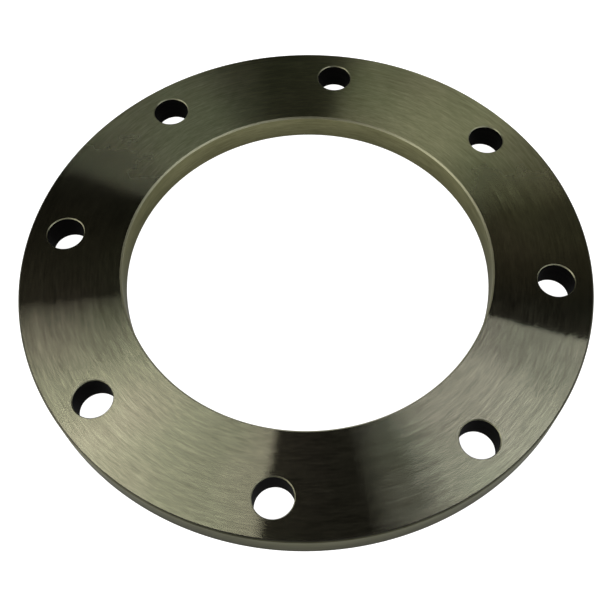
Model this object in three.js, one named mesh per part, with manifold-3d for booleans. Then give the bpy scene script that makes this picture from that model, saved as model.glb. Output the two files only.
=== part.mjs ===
// Plate ring flange: a flat machined steel ring with a plain bore and a circle of through bolt holes.
// Millimetres. The back face lies on z = 0, the ring is centred on the Z axis, and +Z leaves the gasket face.

import * as THREE from 'three';
import { mergeVertices } from 'three/addons/utils/BufferGeometryUtils.js';
import Module from 'manifold-3d';

// Driving dimensions
const OUTER_DIAMETER = 343;
const BORE_DIAMETER = 223;
const THICKNESS = 18;
const BOLT_CIRCLE_DIAMETER = 298.5;
const BOLT_HOLE_COUNT = 8;
const BOLT_HOLE_DIAMETER = 22.2;

// Edge breaks, all at 45 degrees
const RIM_CHAMFER = 1.0;
const BORE_CHAMFER = 1.0;
const BOLT_HOLE_CHAMFER = 0.5;

// Facets of the round surfaces, each a multiple of four so that the ring reaches its full width on X and Y
const RING_FACETS = 144;
const BOLT_HOLE_FACETS = 32;

// How far a drill runs past each face of the plate
const DRILL_OVERRUN = 2;

const outerRadius = OUTER_DIAMETER / 2;
const boreRadius = BORE_DIAMETER / 2;
const boltHoleRadius = BOLT_HOLE_DIAMETER / 2;

const wasm = await Module();
wasm.setup();

// Turns a profile of [radius, height] points about the Z axis.
function turned(profile, facets) {
  const points = profile.map(([radius, height]) => new THREE.Vector2(radius, height));
  return new THREE.LatheGeometry(points, facets).rotateX(Math.PI / 2);
}

function toSolid(geometry) {
  geometry.deleteAttribute('normal');
  geometry.deleteAttribute('uv');
  const merged = mergeVertices(geometry);
  const mesh = new wasm.Mesh({
    numProp: 3,
    vertProperties: new Float32Array(merged.attributes.position.array),
    triVerts: new Uint32Array(merged.index.array),
  });
  return new wasm.Manifold(mesh);
}

function toGeometry(solid) {
  const mesh = solid.getMesh();
  const geometry = new THREE.BufferGeometry();
  geometry.setAttribute('position', new THREE.BufferAttribute(mesh.vertProperties, 3));
  geometry.setIndex(new THREE.BufferAttribute(mesh.triVerts, 1));
  geometry.computeVertexNormals();
  return geometry;
}

// The turned blank: a rectangular section with its four corners broken, closed on itself.
function ringBlank() {
  const profile = [
    [boreRadius + BORE_CHAMFER, 0],
    [outerRadius - RIM_CHAMFER, 0],
    [outerRadius, RIM_CHAMFER],
    [outerRadius, THICKNESS - RIM_CHAMFER],
    [outerRadius - RIM_CHAMFER, THICKNESS],
    [boreRadius + BORE_CHAMFER, THICKNESS],
    [boreRadius, THICKNESS - BORE_CHAMFER],
    [boreRadius, BORE_CHAMFER],
    [boreRadius + BORE_CHAMFER, 0],
  ];
  return toSolid(turned(profile, RING_FACETS));
}

// A drill with a countersink at each face, whose cones run on past the plate.
function boltHoleCutter(angle) {
  const mouthRadius = boltHoleRadius + BOLT_HOLE_CHAMFER + DRILL_OVERRUN;
  const profile = [
    [0, -DRILL_OVERRUN],
    [mouthRadius, -DRILL_OVERRUN],
    [boltHoleRadius, BOLT_HOLE_CHAMFER],
    [boltHoleRadius, THICKNESS - BOLT_HOLE_CHAMFER],
    [mouthRadius, THICKNESS + DRILL_OVERRUN],
    [0, THICKNESS + DRILL_OVERRUN],
  ];
  const cutter = turned(profile, BOLT_HOLE_FACETS);
  cutter.translate(BOLT_CIRCLE_DIAMETER / 2, 0, 0);
  cutter.rotateZ(angle);
  return toSolid(cutter);
}

function drilledRing() {
  let ring = ringBlank();
  for (let i = 0; i < BOLT_HOLE_COUNT; i++) {
    ring = ring.subtract(boltHoleCutter((2 * Math.PI * i) / BOLT_HOLE_COUNT));
  }
  return ring;
}

const machinedSteel = new THREE.MeshStandardMaterial({
  color: 0x8b8878,
  roughness: 0.35,
  metalness: 1.0,
});

const flangeRing = new THREE.Mesh(toGeometry(drilledRing()), machinedSteel);
flangeRing.name = 'flange_ring';

const group = new THREE.Group();
group.add(flangeRing);

export default group;
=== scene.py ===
"""A plate ring flange of lathe-turned steel, on a pale floor under large studio lights."""
import math

import bpy
import numpy as np
from mathutils import Matrix, Vector


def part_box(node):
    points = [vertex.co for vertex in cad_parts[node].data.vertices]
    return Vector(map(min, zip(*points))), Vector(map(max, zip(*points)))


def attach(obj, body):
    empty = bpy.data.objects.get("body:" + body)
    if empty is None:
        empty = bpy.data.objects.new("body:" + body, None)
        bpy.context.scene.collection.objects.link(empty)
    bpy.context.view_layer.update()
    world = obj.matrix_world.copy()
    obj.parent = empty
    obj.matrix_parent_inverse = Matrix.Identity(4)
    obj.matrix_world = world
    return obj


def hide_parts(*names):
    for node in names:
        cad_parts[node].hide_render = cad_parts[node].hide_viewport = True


MM = 0.001

# The ring, as in the CAD part
BORE_RADIUS = 111.5 * MM
BOLT_CIRCLE_RADIUS = 149.25 * MM
BOLT_HOLE_COUNT = 8
BOLT_HOLE_RADIUS = 11.1 * MM
RIM_CHAMFER = 1.0 * MM
BORE_CHAMFER = 1.0 * MM
BOLT_HOLE_CHAMFER = 0.5 * MM

# The chamfers' slope, and how softly they meet their neighbours
CHAMFER_ANGLE = math.pi / 4
CHAMFER_FILLET = 0.25 * MM
HOLE_FILLET = 0.12 * MM
FILLET_STEPS = 4

# Mesh density: steps along half the arc and half the side of one bolt hole's sector of a face
HALF_ARC_STEPS = 20
HALF_SIDE_STEPS = 8

# Steps from a hole to its sector's border, and the power by which they widen on the way
HOLE_TO_BORDER_STEPS = 9
HOLE_TO_BORDER_GROWTH = 1.4

# Steps down a wall, and how near to each other two points are welded
WALL_STEPS = 4
WELD_DISTANCE = 0.001 * MM

# Material slots of the mesh
TURNED_FACE = 0
BORE_WALL = 1
RIM_WALL = 2
BRIGHT_EDGE = 3
DARK_EDGE = 4
DRILLED_HOLE = 5

# Tool marks: width across them, changes per radian round the ring, and noise detail
BROAD_MARKS = (3.0 * MM, 3.0, 3.0)
FINE_MARKS = (1.2 * MM, 8.0, 2.0)
FLECKS = (0.7 * MM, 22.0, 2.0)
FLECK_CONTRAST = 0.08

# Marks in the drilled holes: changes per metre along X, Y and Z, and noise detail
DRILL_MARKS_PER_METRE = (60.0, 60.0, 900.0)
DRILL_MARK_DETAIL = 3.0

# Depth of the marks
FACE_GROOVE = 0.03 * MM
WALL_GROOVE = 0.03 * MM
EDGE_GROOVE = 0.004 * MM
DRILL_GROOVE = 0.03 * MM

# Shares of the fine marks in the lines, of the lines in the tone, and of the lines in the dull streaks
FINE_SHARE = 0.6
LINE_SHARE = 0.6
STREAK_LINE_SHARE = 0.5

# Uneven colour and roughness of the steel
BLOTCH_SIZE = 38.0 * MM
BLOTCH_DETAIL = 4.0
PATCH_SIZE = 70.0 * MM
PATCH_DETAIL = 1.0
NOISE_LOW = 0.35
NOISE_HIGH = 0.65
NOISE_ROUGHNESS = 0.6
ROUGHNESS_VARIATION = 0.06

# The face's far half, towards +Y, is duller, with a greener and darker tint that is painted shade: how
# uneven its border is, from where to where the face turns duller, and how far into that the shine starts to
# soften
FAR_BLOTCHES = 0.8
FAR_START = 0.1
FAR_END = 1.0
SOFTENING_START = 0.2

# The turned face's shine: a dull part, and over most of it a sharp part, which is softer in the far half
FACE_ROUGHNESS = 0.45
FACE_ANISOTROPY = 0.9
SHARP_ROUGHNESS = 0.199
SHARP_ANISOTROPY = 0.899
FAR_ROUGHNESS = 0.285
FAR_ANISOTROPY = 0.79
SHARP_SHARE = 0.9
MARK_WANDER = 0.002
QUARTER_TURN = 0.25

# The drilled holes and the floor hardly shine
HOLE_ROUGHNESS = 0.7
HOLE_SPECULAR = 0.01
FLOOR_ROUGHNESS = 0.9
FLOOR_SPECULAR = 0.1

# Linear colours
STEEL = (0.53, 0.515, 0.36, 1.0)
STEEL_DARK = (0.37, 0.355, 0.243, 1.0)
# Painted shade: a greener, darker tint over the face's far half
FAR_PAINTED_SHADE_TINT = (0.95, 1.0, 0.82, 1.0)
COOL_PATCH = (0.96, 1.0, 0.95, 1.0)
WARM_PATCH = (1.03, 0.985, 1.0, 1.0)
DULL_LOW = (0.2, 0.185, 0.16, 1.0)
DULL_HIGH = (1.65, 1.6, 1.5, 1.0)
# Painted shade: the bore and rim walls are coloured far darker than the face's steel
BORE_SHADED_STEEL = (0.152, 0.147, 0.077, 1.0)
BORE_SHADED_STEEL_DARK = (0.08, 0.078, 0.038, 1.0)
RIM_SHADED_STEEL = (0.145, 0.144, 0.094, 1.0)
RIM_SHADED_STEEL_DARK = (0.078, 0.077, 0.048, 1.0)
EDGE_STEEL = (0.34, 0.33, 0.217, 1.0)
EDGE_STEEL_DARK = (0.235, 0.226, 0.141, 1.0)
# The upper half of the rim's top chamfer is coloured near black
NEAR_BLACK_EDGE = (0.07, 0.067, 0.05, 1.0)
NEAR_BLACK_EDGE_DARK = (0.045, 0.042, 0.03, 1.0)
# Painted shade: the bolt holes' walls are coloured near black
HOLE_PAINTED_SHADE = (0.0025, 0.0022, 0.0018, 1.0)
HOLE_PAINTED_SHADE_DARK = (0.0008, 0.0007, 0.0006, 1.0)
FLOOR_GREY = (0.31, 0.31, 0.31, 1.0)
WHITE = (1.0, 1.0, 1.0, 1.0)
PLAIN_LIGHT = (1.0, 1.0, 1.0)
COOL_LIGHT = (0.95, 1.0, 1.1)
WARM_LIGHT = (1.15, 1.0, 0.72)

# The floor, which also glows so that it stays pale, and the brightness of the white room round it
FLOOR_HALF = 6.0
FLOOR_GAP = 0.2 * MM
FLOOR_GLOW = 1.0
WORLD_STRENGTH = 1.0

# Camera: where it stands from the centre of the top face, in degrees from -Y towards +X, degrees above the
# face and metres; its roll in degrees; the point of the face that it looks at; and its lens
VIEW_AZIMUTH = 8.17
VIEW_ELEVATION = 56.58
VIEW_DISTANCE = 0.5078
VIEW_ROLL = -1.64
VIEW_AIM = (0.0199, -0.0284)
LENS_SHIFT = -0.06
LENS_MM = 50.36
SENSOR_MM = 36.0

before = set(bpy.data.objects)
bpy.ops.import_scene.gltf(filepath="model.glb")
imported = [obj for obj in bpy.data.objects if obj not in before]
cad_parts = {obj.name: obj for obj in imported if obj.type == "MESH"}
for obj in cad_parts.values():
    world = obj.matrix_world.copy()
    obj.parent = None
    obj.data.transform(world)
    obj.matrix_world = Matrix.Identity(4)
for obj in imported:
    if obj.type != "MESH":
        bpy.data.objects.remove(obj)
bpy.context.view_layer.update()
low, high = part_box("flange_ring")
THICKNESS = high.z - low.z
OUTER_RADIUS = (high.x - low.x) / 2


# ---------------------------------------------------------------- mesh

def chamfer_section(chamfer, fillet):
    """The line from a flat face round a chamfer to a wall.

    Each point is (distance in from the wall, depth below the face, normal towards the open side of the wall,
    normal out of the face).
    """
    tangent = fillet * math.tan(CHAMFER_ANGLE / 2)
    upper, lower = [], []
    for step in range(FILLET_STEPS + 1):
        turn = CHAMFER_ANGLE * step / FILLET_STEPS
        sine, cosine = math.sin(turn), math.cos(turn)
        upper.append((chamfer + tangent - fillet * sine, fillet - fillet * cosine, sine, cosine))
        lower.append((fillet - fillet * cosine, chamfer + tangent - fillet * sine, cosine, sine))
    slope = math.cos(CHAMFER_ANGLE)
    return upper + [(chamfer / 2, chamfer / 2, slope, slope)] + lower[::-1]


def wall_section(chamfer, fillet):
    """A whole wall from the top face to the back face.

    Each point is (distance in from the wall, height, normal towards the open side, normal upwards).
    """
    corner = chamfer_section(chamfer, fillet)
    top = [(inset, THICKNESS - depth, out, up) for inset, depth, out, up in corner]
    bottom = [(inset, depth, out, -up) for inset, depth, out, up in reversed(corner)]
    high_end, low_end = top[-1][1], bottom[0][1]
    between = [
        (0.0, high_end + (low_end - high_end) * step / WALL_STEPS, 1.0, 0.0)
        for step in range(1, WALL_STEPS)
    ]
    return top + between + bottom


class Shell:
    """Collects grids of points with their true normals and welds them into one closed mesh."""

    def __init__(self):
        self.points = []
        self.normals = []
        self.faces = []
        self.materials = []

    def grid(self, points, normals, materials):
        """Adds rows of points, each a closed loop, and the faces between them, one material to a row."""
        start = sum(len(block) for block in self.points)
        rows, columns = points.shape[:2]
        self.points.append(points.reshape(-1, 3))
        self.normals.append(normals.reshape(-1, 3))
        for row in range(rows - 1):
            for column in range(columns):
                after = (column + 1) % columns
                corners = [(row, column), (row, after), (row + 1, after), (row + 1, column)]
                a, b, c, d = (points[corner] for corner in corners)
                facing = np.cross(c - a, d - b) @ sum(normals[corner] for corner in corners)
                if facing < 0:
                    corners.reverse()
                self.faces.append([start + r * columns + k for r, k in corners])
                self.materials.append(materials[row])

    def build(self, name):
        points = np.concatenate(self.points)
        normals = np.concatenate(self.normals)
        keys = np.round(points / WELD_DISTANCE).astype(np.int64)
        _, first, weld = np.unique(keys, axis=0, return_index=True, return_inverse=True)
        weld = weld.reshape(-1)
        mesh = bpy.data.meshes.new(name)
        mesh.from_pydata(points[first].tolist(), [], weld[np.array(self.faces)].tolist())
        mesh.polygons.foreach_set("material_index", self.materials)
        mesh.polygons.foreach_set("use_smooth", [True] * len(self.faces))
        mesh.normals_split_custom_set_from_vertices(normals[first].tolist())
        mesh.update()
        return bpy.data.objects.new(name, mesh)


def wall_materials(section, upper_chamfer, lower_chamfer, wall, back_chamfer):
    """Material slots of the rows of faces down a wall. The top chamfer's two halves can differ."""
    half_rows = FILLET_STEPS + 1
    wall_rows = len(section) - 1 - 4 * half_rows
    top = [upper_chamfer] * half_rows + [lower_chamfer] * half_rows
    return top + [wall] * wall_rows + [back_chamfer] * (2 * half_rows)


def add_wall(shell, centre, radius, side, angles, section, materials):
    """A round wall about a vertical axis at centre. side is 1 for the rim and -1 for a bore or hole.

    materials are the four slots that wall_materials takes.
    """
    around = np.stack([np.cos(angles), np.sin(angles), np.zeros_like(angles)], axis=1)
    points, normals = [], []
    for inset, height, out, up in section:
        points.append(np.array(centre) + around * (radius - side * inset) + (0, 0, height))
        normals.append(around * out * side + (0, 0, up))
    shell.grid(np.array(points), np.array(normals), wall_materials(section, *materials))


def sector_border(inner, outer):
    """The outline of one bolt hole's sector about +X, anticlockwise from the middle of its outer arc."""
    half = math.pi / BOLT_HOLE_COUNT
    arc = np.arange(HALF_ARC_STEPS) / HALF_ARC_STEPS
    side = np.arange(HALF_SIDE_STEPS) / HALF_SIDE_STEPS
    middle = (inner + outer) / 2
    radius = np.concatenate([
        np.full(HALF_ARC_STEPS, outer),
        outer + (middle - outer) * side,
        middle + (inner - middle) * side,
        np.full(HALF_ARC_STEPS, inner),
    ])
    turn = half * np.concatenate([arc, np.ones(2 * HALF_SIDE_STEPS), 1 - arc])
    # The other half is its mirror image, from the middle of the inner arc on
    radius = np.concatenate([radius, [inner], radius[:0:-1]])
    turn = np.concatenate([turn, [0.0], -turn[:0:-1]])
    return np.stack([radius * np.cos(turn), radius * np.sin(turn)], axis=1)


def add_face(shell, height, up, hole_angles, border, hole_mouth):
    """One flat face. Round each bolt hole, rings of points run from its mouth to its sector's border."""
    mouth = np.stack([
        BOLT_CIRCLE_RADIUS + hole_mouth * np.cos(hole_angles),
        hole_mouth * np.sin(hole_angles),
    ], axis=1)
    spread = (np.arange(HOLE_TO_BORDER_STEPS + 1) / HOLE_TO_BORDER_STEPS) ** HOLE_TO_BORDER_GROWTH
    rings = mouth[None] + (border - mouth)[None] * spread[:, None, None]
    for index in range(BOLT_HOLE_COUNT):
        turn = 2 * math.pi * index / BOLT_HOLE_COUNT
        x = rings[..., 0] * math.cos(turn) - rings[..., 1] * math.sin(turn)
        y = rings[..., 0] * math.sin(turn) + rings[..., 1] * math.cos(turn)
        points = np.stack([x, y, np.full_like(x, height)], axis=2)
        normals = np.zeros_like(points)
        normals[..., 2] = up
        shell.grid(points, normals, [TURNED_FACE] * HOLE_TO_BORDER_STEPS)


def flange_mesh():
    shell = Shell()
    rim = wall_section(RIM_CHAMFER, CHAMFER_FILLET)
    bore = wall_section(BORE_CHAMFER, CHAMFER_FILLET)
    hole = wall_section(BOLT_HOLE_CHAMFER, HOLE_FILLET)
    border = sector_border(BORE_RADIUS + bore[0][0], OUTER_RADIUS - rim[0][0])
    ring_steps = 2 * HALF_ARC_STEPS * BOLT_HOLE_COUNT
    ring_angles = 2 * math.pi * np.arange(ring_steps) / ring_steps
    hole_angles = 2 * math.pi * np.arange(len(border)) / len(border)
    middle = (0, 0, 0)
    rim_slots = (DARK_EDGE, RIM_WALL, RIM_WALL, RIM_WALL)
    bore_slots = (BRIGHT_EDGE, BRIGHT_EDGE, BORE_WALL, BORE_WALL)
    hole_slots = (BRIGHT_EDGE, BRIGHT_EDGE, DRILLED_HOLE, BRIGHT_EDGE)
    add_wall(shell, middle, OUTER_RADIUS, 1, ring_angles, rim, rim_slots)
    add_wall(shell, middle, BORE_RADIUS, -1, ring_angles, bore, bore_slots)
    for index in range(BOLT_HOLE_COUNT):
        turn = 2 * math.pi * index / BOLT_HOLE_COUNT
        centre = (BOLT_CIRCLE_RADIUS * math.cos(turn), BOLT_CIRCLE_RADIUS * math.sin(turn), 0)
        add_wall(shell, centre, BOLT_HOLE_RADIUS, -1, hole_angles + turn, hole, hole_slots)
    for height, up in ((THICKNESS, 1), (0.0, -1)):
        add_face(shell, height, up, hole_angles, border, BOLT_HOLE_RADIUS + hole[0][0])
    return shell.build("flange_body")


# ---------------------------------------------------------------- materials

class Nodes:
    """Short calls for building one material's node tree."""

    def __init__(self, name):
        self.material = bpy.data.materials.new(name)
        self.material.use_nodes = True
        self.tree = self.material.node_tree
        self.shader = self.tree.nodes["Principled BSDF"]

    def add(self, kind, **settings):
        node = self.tree.nodes.new(kind)
        for key, value in settings.items():
            setattr(node, key, value)
        return node

    def link(self, source, target):
        self.tree.links.new(source, target)

    def put(self, value, socket):
        if isinstance(value, bpy.types.NodeSocket):
            self.link(value, socket)
        else:
            socket.default_value = value

    def maths(self, operation, *values):
        node = self.add("ShaderNodeMath", operation=operation)
        for socket, value in zip(node.inputs, values):
            self.put(value, socket)
        return node.outputs[0]

    def weigh(self, *pairs):
        """The sum of (value, weight) pairs."""
        total = 0.0
        for value, weight in pairs:
            total = self.maths("MULTIPLY_ADD", value, weight, total)
        return total

    def combine(self, x, y, z):
        node = self.add("ShaderNodeCombineXYZ")
        for socket, value in zip(node.inputs, (x, y, z)):
            self.put(value, socket)
        return node.outputs[0]

    def noise(self, vector, scale, detail):
        node = self.add("ShaderNodeTexNoise")
        self.link(vector, node.inputs["Vector"])
        node.inputs["Scale"].default_value = scale
        node.inputs["Detail"].default_value = detail
        node.inputs["Roughness"].default_value = NOISE_ROUGHNESS
        return node.outputs["Fac"]

    def map_range(self, value, from_low, from_high, to_low=0.0, to_high=1.0):
        node = self.add("ShaderNodeMapRange", clamp=True)
        for socket, number in zip(node.inputs, (value, from_low, from_high, to_low, to_high)):
            self.put(number, socket)
        return node.outputs[0]

    def spread(self, noise, low=0.0, high=1.0):
        """A noise value's usual range, stretched to run from low to high."""
        return self.map_range(noise, NOISE_LOW, NOISE_HIGH, low, high)

    def mix(self, factor, a, b, blend_type="MIX"):
        """Mixes two colours. A mix node's colour sockets come after those for numbers and vectors."""
        node = self.add("ShaderNodeMix", data_type="RGBA", blend_type=blend_type)
        factor_socket, a_socket, b_socket = node.inputs[0], node.inputs[6], node.inputs[7]
        self.put(factor, factor_socket)
        self.put(a, a_socket)
        self.put(b, b_socket)
        return node.outputs[2]

    def multiply(self, a, b):
        return self.mix(1.0, a, b, "MULTIPLY")

    def grey(self, value):
        return self.combine(value, value, value)

    def bump(self, height, depth):
        """Bumps the shader's normal by height, where 1 is depth metres. Returns the new normal."""
        node = self.add("ShaderNodeBump")
        node.inputs["Strength"].default_value = 1.0
        node.inputs["Distance"].default_value = depth
        self.link(height, node.inputs["Height"])
        self.link(node.outputs[0], self.shader.inputs["Normal"])
        return node.outputs[0]


def polar(nodes):
    """The place, its distance from the ring's axis, the unit direction from the axis, and its height.

    Lengths are in metres.
    """
    place = nodes.add("ShaderNodeTexCoord").outputs["Object"]
    split = nodes.add("ShaderNodeSeparateXYZ")
    nodes.link(place, split.inputs[0])
    x, y, z = split.outputs
    square = nodes.maths("MULTIPLY_ADD", x, x, nodes.maths("MULTIPLY", y, y))
    radius = nodes.maths("SQRT", square)
    return place, radius, nodes.maths("DIVIDE", x, radius), nodes.maths("DIVIDE", y, radius), z


def turned_steel(name, bright, dark, roughness, anisotropy, groove, grazing=1.0, low_shade=1.0):
    """Steel with circular tool marks about the ring's axis.

    groove is the depth of the marks in metres. grazing is how much of the shine is left along a grazing
    view. low_shade is how light the foot of a wall is beside its top. Returns the node helper and the values
    that other finishes build on, by name.
    """
    nodes = Nodes(name)
    place, radius, east, north, height = polar(nodes)
    across = nodes.maths("ADD", radius, height)

    def marks(width, changes, detail):
        """Noise drawn out along circles."""
        stretched = nodes.combine(
            nodes.maths("MULTIPLY", across, 1 / width),
            nodes.maths("MULTIPLY", east, changes),
            nodes.maths("MULTIPLY", north, changes),
        )
        return nodes.noise(stretched, 1.0, detail)

    broad = marks(*BROAD_MARKS)
    fine = marks(*FINE_MARKS)
    flecks = marks(*FLECKS)
    blotches = nodes.noise(place, 1 / BLOTCH_SIZE, BLOTCH_DETAIL)
    lines = nodes.weigh((fine, FINE_SHARE), (broad, 1 - FINE_SHARE))
    tone = nodes.weigh((lines, LINE_SHARE), (blotches, 1 - LINE_SHARE))
    tint = nodes.mix(nodes.spread(tone), dark, bright)
    fleck_shade = nodes.spread(flecks, 1 - FLECK_CONTRAST, 1 + FLECK_CONTRAST)
    tint = nodes.multiply(tint, nodes.grey(fleck_shade))
    if low_shade < 1.0:
        height_shade = nodes.map_range(height, 0.0, THICKNESS, low_shade, 1.0)
        tint = nodes.multiply(tint, nodes.grey(height_shade))
    shader = nodes.shader
    nodes.link(tint, shader.inputs["Base Color"])
    least, most = roughness * (1 - ROUGHNESS_VARIATION), roughness * (1 + ROUGHNESS_VARIATION)
    nodes.link(nodes.spread(blotches, least, most), shader.inputs["Roughness"])
    shader.inputs["Metallic"].default_value = 1.0
    shader.inputs["Specular Tint"].default_value = (grazing, grazing, grazing, 1.0)
    shader.inputs["Anisotropic"].default_value = anisotropy
    shader.inputs["Anisotropic Rotation"].default_value = QUARTER_TURN
    tangent = nodes.add("ShaderNodeTangent", direction_type="RADIAL", axis="Z").outputs[0]
    nodes.link(tangent, shader.inputs["Tangent"])
    normal = nodes.bump(lines, groove)
    values = {
        "place": place,
        "north": north,
        "tint": tint,
        "broad": broad,
        "lines": lines,
        "flecks": flecks,
        "blotches": blotches,
        "tangent": tangent,
        "normal": normal,
    }
    return nodes, values


def face_steel(name):
    """The turned face. Most of its shine is sharp along the tool marks and spread out across them."""
    nodes, values = turned_steel(name, STEEL, STEEL_DARK, FACE_ROUGHNESS, FACE_ANISOTROPY, FACE_GROOVE)
    patches = nodes.noise(values["place"], 1 / PATCH_SIZE, PATCH_DETAIL)
    tint = nodes.multiply(values["tint"], nodes.mix(nodes.spread(patches), COOL_PATCH, WARM_PATCH))
    far = nodes.maths("MULTIPLY_ADD", values["blotches"], FAR_BLOTCHES, values["north"])
    far_share = nodes.map_range(far, FAR_START, FAR_END)
    # Painted shade: the face's far half turns greener and darker
    tint = nodes.mix(far_share, tint, nodes.multiply(tint, FAR_PAINTED_SHADE_TINT))
    streaks = nodes.weigh((values["lines"], STREAK_LINE_SHARE), (values["flecks"], 1 - STREAK_LINE_SHARE))
    dull_tint = nodes.multiply(tint, nodes.mix(nodes.spread(streaks), DULL_LOW, DULL_HIGH))
    nodes.link(dull_tint, nodes.shader.inputs["Base Color"])
    roughness = nodes.map_range(far_share, SOFTENING_START, 1.0, SHARP_ROUGHNESS, FAR_ROUGHNESS)
    anisotropy = nodes.map_range(far_share, SOFTENING_START, 1.0, SHARP_ANISOTROPY, FAR_ANISOTROPY)
    wander = nodes.spread(values["broad"], -MARK_WANDER, MARK_WANDER)
    sharp = nodes.add("ShaderNodeBsdfAnisotropic", distribution="GGX")
    nodes.link(tint, sharp.inputs["Color"])
    nodes.link(roughness, sharp.inputs["Roughness"])
    nodes.link(anisotropy, sharp.inputs["Anisotropy"])
    nodes.link(wander, sharp.inputs["Rotation"])
    nodes.link(values["tangent"], sharp.inputs["Tangent"])
    nodes.link(values["normal"], sharp.inputs["Normal"])
    blend = nodes.add("ShaderNodeMixShader")
    blend.inputs[0].default_value = SHARP_SHARE
    nodes.link(nodes.shader.outputs[0], blend.inputs[1])
    nodes.link(sharp.outputs[0], blend.inputs[2])
    nodes.link(blend.outputs[0], nodes.tree.nodes["Material Output"].inputs["Surface"])
    return nodes.material


def wall_steel(name, bright, dark, **finish):
    nodes, _ = turned_steel(name, bright, dark, **finish)
    return nodes.material


def drilled_steel(name):
    """A hole whose wall is coloured near black as painted shade: marks round the wall and almost no shine.
    """
    nodes = Nodes(name)
    stretch = nodes.add("ShaderNodeMapping")
    stretch.inputs["Scale"].default_value = DRILL_MARKS_PER_METRE
    nodes.link(nodes.add("ShaderNodeTexCoord").outputs["Object"], stretch.inputs["Vector"])
    marks = nodes.noise(stretch.outputs[0], 1.0, DRILL_MARK_DETAIL)
    tint = nodes.mix(nodes.spread(marks), HOLE_PAINTED_SHADE_DARK, HOLE_PAINTED_SHADE)
    nodes.link(tint, nodes.shader.inputs["Base Color"])
    nodes.shader.inputs["Roughness"].default_value = HOLE_ROUGHNESS
    nodes.shader.inputs["Specular IOR Level"].default_value = HOLE_SPECULAR
    nodes.bump(marks, DRILL_GROOVE)
    return nodes.material


def flange_materials():
    """The finishes, in the order of the mesh's material slots."""
    return [
        face_steel("turned_face"),
        # Painted shade: the bore and rim walls take darker colours than the face, and low_shade darkens
        # their feet further
        wall_steel("shaded_bore_wall", BORE_SHADED_STEEL, BORE_SHADED_STEEL_DARK,
                   roughness=0.4, anisotropy=0.8, groove=WALL_GROOVE, grazing=0.5, low_shade=0.6),
        wall_steel("shaded_rim_wall", RIM_SHADED_STEEL, RIM_SHADED_STEEL_DARK,
                   roughness=0.45, anisotropy=0.6, groove=WALL_GROOVE, grazing=0.5, low_shade=0.4),
        wall_steel("bright_edge", EDGE_STEEL, EDGE_STEEL_DARK,
                   roughness=0.5, anisotropy=0.5, groove=EDGE_GROOVE),
        wall_steel("dark_edge", NEAR_BLACK_EDGE, NEAR_BLACK_EDGE_DARK,
                   roughness=0.4, anisotropy=0.6, groove=EDGE_GROOVE, grazing=0.5),
        drilled_steel("drilled_hole"),
    ]


# ---------------------------------------------------------------- object

def add_flange():
    flange = flange_mesh()
    bpy.context.scene.collection.objects.link(flange)
    for material in flange_materials():
        flange.data.materials.append(material)
    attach(flange, "root")
    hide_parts("flange_ring")


# ---------------------------------------------------------------- studio

def add_floor():
    mesh = bpy.data.meshes.new("floor")
    corners = [(x * FLOOR_HALF, y * FLOOR_HALF, 0) for x, y in ((-1, -1), (1, -1), (1, 1), (-1, 1))]
    mesh.from_pydata(corners, [], [(0, 1, 2, 3)])
    floor = bpy.data.objects.new("floor", mesh)
    floor.location.z = low.z - FLOOR_GAP
    bpy.context.scene.collection.objects.link(floor)
    nodes = Nodes("pale_floor")
    nodes.shader.inputs["Base Color"].default_value = FLOOR_GREY
    nodes.shader.inputs["Roughness"].default_value = FLOOR_ROUGHNESS
    nodes.shader.inputs["Specular IOR Level"].default_value = FLOOR_SPECULAR
    nodes.shader.inputs["Emission Color"].default_value = WHITE
    nodes.shader.inputs["Emission Strength"].default_value = FLOOR_GLOW
    mesh.materials.append(nodes.material)


def add_softbox(name, azimuth, elevation, roll, size, distance, radiance, colour=PLAIN_LIGHT):
    """A flat lit panel that faces the ring's centre.

    azimuth is clockwise from +Y seen from above, elevation is above the floor, and roll is about the panel's
    own axis, in degrees. size is (width, height) and distance is from the ring's centre, in metres. radiance
    is the brightness of the panel's surface.
    """
    a, e, r = (math.radians(angle) for angle in (azimuth, elevation, roll))
    towards = Vector((math.cos(e) * math.sin(a), math.cos(e) * math.cos(a), math.sin(e)))
    level = Vector((0, 0, 1)).cross(-towards).normalized()
    upright = (-towards).cross(level)
    x_axis = math.cos(r) * level + math.sin(r) * upright
    y_axis = towards.cross(x_axis)
    turn = Matrix((x_axis, y_axis, towards)).transposed().to_4x4()
    light = bpy.data.lights.new(name, "AREA")
    light.shape = "RECTANGLE"
    light.size, light.size_y = size
    light.energy = radiance * math.pi * size[0] * size[1]
    light.color = colour
    lamp = bpy.data.objects.new(name, light)
    lamp.matrix_world = Matrix.Translation(towards * distance) @ turn
    lamp.visible_camera = False
    bpy.context.scene.collection.objects.link(lamp)


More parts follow.
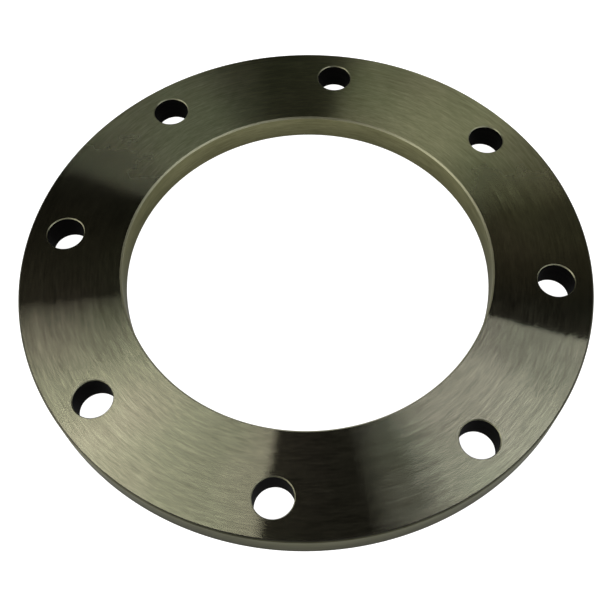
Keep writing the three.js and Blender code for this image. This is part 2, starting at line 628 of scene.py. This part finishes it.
def add_lights():
    """Three softboxes and a strip draw the bright wedges on the face. Dim panels fill the dark ones."""
    add_softbox("left_softbox", azimuth=257.4, elevation=42.8, roll=-75.1,
                size=(1.96, 0.80), distance=1.19, radiance=1.93)
    add_softbox("left_low_softbox", azimuth=238.5, elevation=25.4, roll=23.2,
                size=(0.77, 0.69), distance=1.107, radiance=1.58)
    add_softbox("right_softbox", azimuth=101.1, elevation=37.0, roll=4.7,
                size=(0.789, 0.416), distance=0.832, radiance=2.76, colour=COOL_LIGHT)
    add_softbox("right_strip", azimuth=118.3, elevation=50.7, roll=-21.5,
                size=(0.653, 0.139), distance=0.614, radiance=1.7, colour=COOL_LIGHT)
    add_softbox("right_back_fill", azimuth=42.0, elevation=27.9, roll=81.4,
                size=(0.55, 0.505), distance=1.193, radiance=0.1, colour=WARM_LIGHT)
    add_softbox("back_panel", azimuth=4.5, elevation=30.0, roll=96.2,
                size=(0.565, 1.104), distance=0.868, radiance=0.065)
    add_softbox("overhead_panel", azimuth=0.0, elevation=89.9, roll=0.0,
                size=(8.0, 8.0), distance=2.5, radiance=0.012)


def add_world():
    """A white room that lights what is matt but isn't mirrored in the steel."""
    world = bpy.data.worlds.new("studio")
    bpy.context.scene.world = world
    world.use_nodes = True
    background = world.node_tree.nodes["Background"]
    background.inputs["Color"].default_value = WHITE
    background.inputs["Strength"].default_value = WORLD_STRENGTH
    world.cycles_visibility.glossy = False


def add_camera():
    a, e = math.radians(VIEW_AZIMUTH), math.radians(VIEW_ELEVATION)
    centre = Vector((0, 0, high.z))
    away = Vector((math.sin(a) * math.cos(e), -math.cos(a) * math.cos(e), math.sin(e)))
    place = centre + away * VIEW_DISTANCE
    aim = Vector((*VIEW_AIM, high.z))
    turn = (aim - place).to_track_quat("-Z", "Y").to_matrix().to_4x4()
    roll = Matrix.Rotation(math.radians(-VIEW_ROLL), 4, "Z")
    camera = bpy.data.objects.new("camera", bpy.data.cameras.new("camera"))
    camera.matrix_world = Matrix.Translation(place) @ turn @ roll
    camera.data.lens = LENS_MM
    camera.data.shift_x = LENS_SHIFT
    camera.data.sensor_width = SENSOR_MM
    bpy.context.scene.collection.objects.link(camera)
    bpy.context.scene.camera = camera


add_flange()
add_floor()
add_lights()
add_world()
add_camera()
bpy.context.scene.view_settings.view_transform = "Standard"
